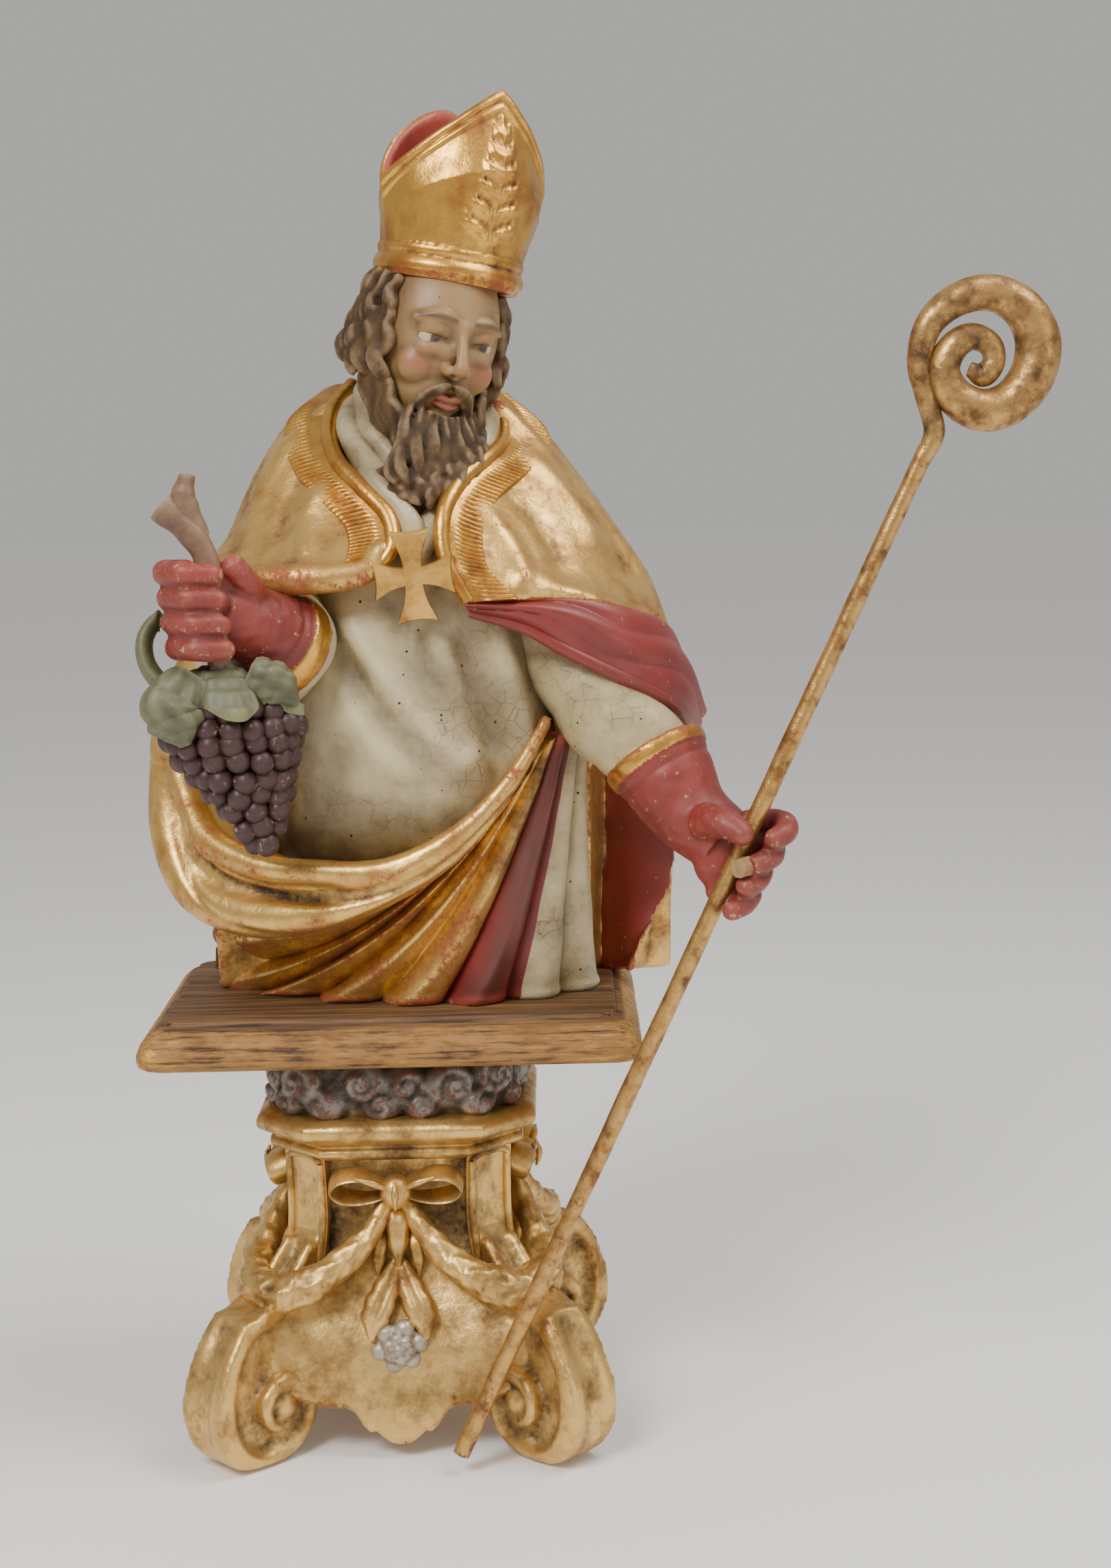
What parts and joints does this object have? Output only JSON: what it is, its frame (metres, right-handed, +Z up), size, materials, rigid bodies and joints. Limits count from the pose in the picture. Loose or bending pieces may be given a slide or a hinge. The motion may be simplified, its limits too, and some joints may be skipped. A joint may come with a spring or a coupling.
{
  "type": "carved saint figure on a pedestal",
  "caption": "Gilded and painted carved wooden half figure of a bearded bishop with mitre, crozier and grapes, on a board over a scroll-footed pedestal.",
  "frame": {"origin": "on the floor, under the middle of the whole work's bounding box, the crozier included", "axes": "+Z up, the figure faces -Y, the crozier is on the +X side"},
  "size_m": [0.6358, 0.3414, 0.9565],
  "materials": {
    "painted_and_gilded_carving": "old gold leaf over red bole, with crimson, white and flesh paint, cracked and worn",
    "gilded_wood": "old gold leaf, worn",
    "painted_wood": "dark red-brown paint, satin, chipped",
    "worn_gilded_wood": "gold worn down to brown wood",
    "worn_dark_wood": "dark stained top, flaking gold edge",
    "patinated_gilded_wood": "dull gold with brown patina and silvered flowers"
  },
  "bodies": {
    "root": {"saint_figure": "painted_and_gilded_carving", "pectoral_cross": "gilded_wood", "grape_bunch": "painted_wood", "crozier": "worn_gilded_wood", "plinth_board": "worn_dark_wood", "scroll_pedestal": "patinated_gilded_wood"}
  },
  "joints": []
}
